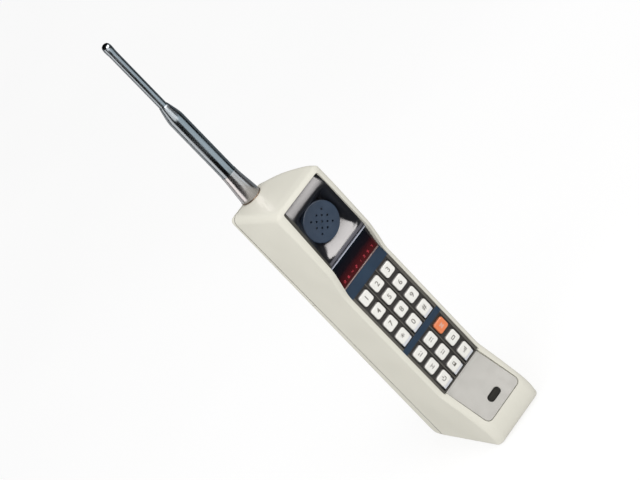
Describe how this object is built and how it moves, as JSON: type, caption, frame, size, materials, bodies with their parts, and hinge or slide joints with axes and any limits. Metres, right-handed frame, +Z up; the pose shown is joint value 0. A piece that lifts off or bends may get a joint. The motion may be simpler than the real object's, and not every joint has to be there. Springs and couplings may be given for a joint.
{
  "type": "early mobile brick phone",
  "caption": "Upright cellular handset with a push-button keypad, sloped lit display, cupped earpiece, forward chin microphone, screw-in whip antenna and lift-off rear battery.",
  "frame": {"origin": "on the standing plane, under the middle of the body's width and depth", "axes": "+Z up the handset to the antenna tip, -Y out of the keypad, +X to the viewer's right"},
  "size_m": [0.0446, 0.078, 0.3515],
  "materials": {
    "shell": "fine satin texture",
    "black_gloss": "polished",
    "navy": "semi-gloss",
    "key_cap": "satin",
    "key_orange": "satin",
    "grille_blue": "satin",
    "window_red": "smoked, polished",
    "led_red": "translucent",
    "plate_grey": "painted satin",
    "trim_metal": "bright",
    "dark_plastic": "satin",
    "rubber_dark": "matte",
    "board_green": "glass-fibre board",
    "chip_black": "moulded",
    "cast_metal": "as cast",
    "tinplate": "tinned sheet",
    "duplexer_plate": "plated",
    "brass": "turned",
    "ferrule_metal": "dark plated",
    "antenna_black": "polished",
    "screw_steel": "plated",
    "cell_wrap": "steel can in a shrink sleeve",
    "flex": "film"
  },
  "bodies": {
    "handset": {"front_housing": "shell", "rear_housing": "shell", "keypad_bezel": "navy", "key_mat": "rubber_dark", "keypad_board": "board_green", "display_window": "window_red", "display_trim": "trim_metal", "led_digits": "led_red", "display_board": "board_green", "earpiece_cup": "black_gloss", "earpiece_grille": "grille_blue", "earpiece_gasket": "rubber_dark", "earpiece_speaker": "tinplate", "chin_plate": "plate_grey", "microphone_boot": "rubber_dark", "microphone": "tinplate", "chassis": "cast_metal", "logic_board": "board_green", "logic_chips": "chip_black", "transceiver_board": "board_green", "rf_shield": "tinplate", "duplexer": "duplexer_plate", "ribbon_cable": "flex", "coax_lead": "rubber_dark", "antenna_socket": "brass", "battery_bay": "dark_plastic", "bay_contacts": "brass", "housing_screws": "screw_steel"},
    "antenna": {"antenna_ferrule": "ferrule_metal", "antenna_sleeve": "antenna_black", "antenna_whip": "antenna_black"},
    "battery_pack": {"battery_case": "dark_plastic", "battery_cover": "shell", "battery_cells": "cell_wrap", "battery_contacts": "brass", "latch_spring": "screw_steel"},
    "latch_button": {"battery_latch": "dark_plastic"},
    "key_1_button": {"key_1": "key_cap"},
    "key_2_button": {"key_2": "key_cap"},
    "key_3_button": {"key_3": "key_cap"},
    "key_4_button": {"key_4": "key_cap"},
    "key_5_button": {"key_5": "key_cap"},
    "key_6_button": {"key_6": "key_cap"},
    "key_7_button": {"key_7": "key_cap"},
    "key_8_button": {"key_8": "key_cap"},
    "key_9_button": {"key_9": "key_cap"},
    "key_star_button": {"key_star": "key_cap"},
    "key_0_button": {"key_0": "key_cap"},
    "key_hash_button": {"key_hash": "key_cap"},
    "key_recall_button": {"key_recall": "key_cap"},
    "key_clear_button": {"key_clear": "key_cap"},
    "key_send_button": {"key_send": "key_orange"},
    "key_store_button": {"key_store": "key_cap"},
    "key_function_button": {"key_function": "key_cap"},
    "key_end_button": {"key_end": "key_cap"},
    "key_power_button": {"key_power": "key_cap"},
    "key_lock_button": {"key_lock": "key_cap"},
    "key_volume_button": {"key_volume": "key_cap"}
  },
  "joints": [
    {"name": "key_1_press", "type": "slide", "parent": "handset", "child": "key_1_button", "axis": [0, 1, 0], "range_m": [0, 0.0011], "stiffness_N_per_m": 700},
    {"name": "key_2_press", "type": "slide", "parent": "handset", "child": "key_2_button", "axis": [0, 1, 0], "range_m": [0, 0.0011], "stiffness_N_per_m": 700},
    {"name": "key_3_press", "type": "slide", "parent": "handset", "child": "key_3_button", "axis": [0, 1, 0], "range_m": [0, 0.0011], "stiffness_N_per_m": 700},
    {"name": "key_4_press", "type": "slide", "parent": "handset", "child": "key_4_button", "axis": [0, 1, 0], "range_m": [0, 0.0011], "stiffness_N_per_m": 700},
    {"name": "key_5_press", "type": "slide", "parent": "handset", "child": "key_5_button", "axis": [0, 1, 0], "range_m": [0, 0.0011], "stiffness_N_per_m": 700},
    {"name": "key_6_press", "type": "slide", "parent": "handset", "child": "key_6_button", "axis": [0, 1, 0], "range_m": [0, 0.0011], "stiffness_N_per_m": 700},
    {"name": "key_7_press", "type": "slide", "parent": "handset", "child": "key_7_button", "axis": [0, 1, 0], "range_m": [0, 0.0011], "stiffness_N_per_m": 700},
    {"name": "key_8_press", "type": "slide", "parent": "handset", "child": "key_8_button", "axis": [0, 1, 0], "range_m": [0, 0.0011], "stiffness_N_per_m": 700},
    {"name": "key_9_press", "type": "slide", "parent": "handset", "child": "key_9_button", "axis": [0, 1, 0], "range_m": [0, 0.0011], "stiffness_N_per_m": 700},
    {"name": "key_star_press", "type": "slide", "parent": "handset", "child": "key_star_button", "axis": [0, 1, 0], "range_m": [0, 0.0011], "stiffness_N_per_m": 700},
    {"name": "key_0_press", "type": "slide", "parent": "handset", "child": "key_0_button", "axis": [0, 1, 0], "range_m": [0, 0.0011], "stiffness_N_per_m": 700},
    {"name": "key_hash_press", "type": "slide", "parent": "handset", "child": "key_hash_button", "axis": [0, 1, 0], "range_m": [0, 0.0011], "stiffness_N_per_m": 700},
    {"name": "key_recall_press", "type": "slide", "parent": "handset", "child": "key_recall_button", "axis": [0, 1, 0], "range_m": [0, 0.0011], "stiffness_N_per_m": 700},
    {"name": "key_clear_press", "type": "slide", "parent": "handset", "child": "key_clear_button", "axis": [0, 1, 0], "range_m": [0, 0.0011], "stiffness_N_per_m": 700},
    {"name": "key_send_press", "type": "slide", "parent": "handset", "child": "key_send_button", "axis": [0, 1, 0], "range_m": [0, 0.0011], "stiffness_N_per_m": 700},
    {"name": "key_store_press", "type": "slide", "parent": "handset", "child": "key_store_button", "axis": [0, 1, 0], "range_m": [0, 0.0011], "stiffness_N_per_m": 700},
    {"name": "key_function_press", "type": "slide", "parent": "handset", "child": "key_function_button", "axis": [0, 1, 0], "range_m": [0, 0.0011], "stiffness_N_per_m": 700},
    {"name": "key_end_press", "type": "slide", "parent": "handset", "child": "key_end_button", "axis": [0, 1, 0], "range_m": [0, 0.0011], "stiffness_N_per_m": 700},
    {"name": "key_power_press", "type": "slide", "parent": "handset", "child": "key_power_button", "axis": [0, 1, 0], "range_m": [0, 0.0011], "stiffness_N_per_m": 700},
    {"name": "key_lock_press", "type": "slide", "parent": "handset", "child": "key_lock_button", "axis": [0, 1, 0], "range_m": [0, 0.0011], "stiffness_N_per_m": 700},
    {"name": "key_volume_press", "type": "slide", "parent": "handset", "child": "key_volume_button", "axis": [0, 1, 0], "range_m": [0, 0.0011], "stiffness_N_per_m": 700},
    {"name": "antenna_unscrew", "type": "hinge", "parent": "handset", "child": "antenna", "pos_m": [-0.003, 0.0263, 0.215], "axis": [0, 0, 1], "continuous": true},
    {"name": "battery_lift_off", "type": "slide", "parent": "handset", "child": "battery_pack", "axis": [0, 1, 0], "range_m": [0, 0.05]},
    {"name": "latch_release", "type": "slide", "parent": "battery_pack", "child": "latch_button", "axis": [0, 0, -1], "range_m": [0, 0.0017], "stiffness_N_per_m": 900, "deforming": ["latch_spring"]}
  ]
}
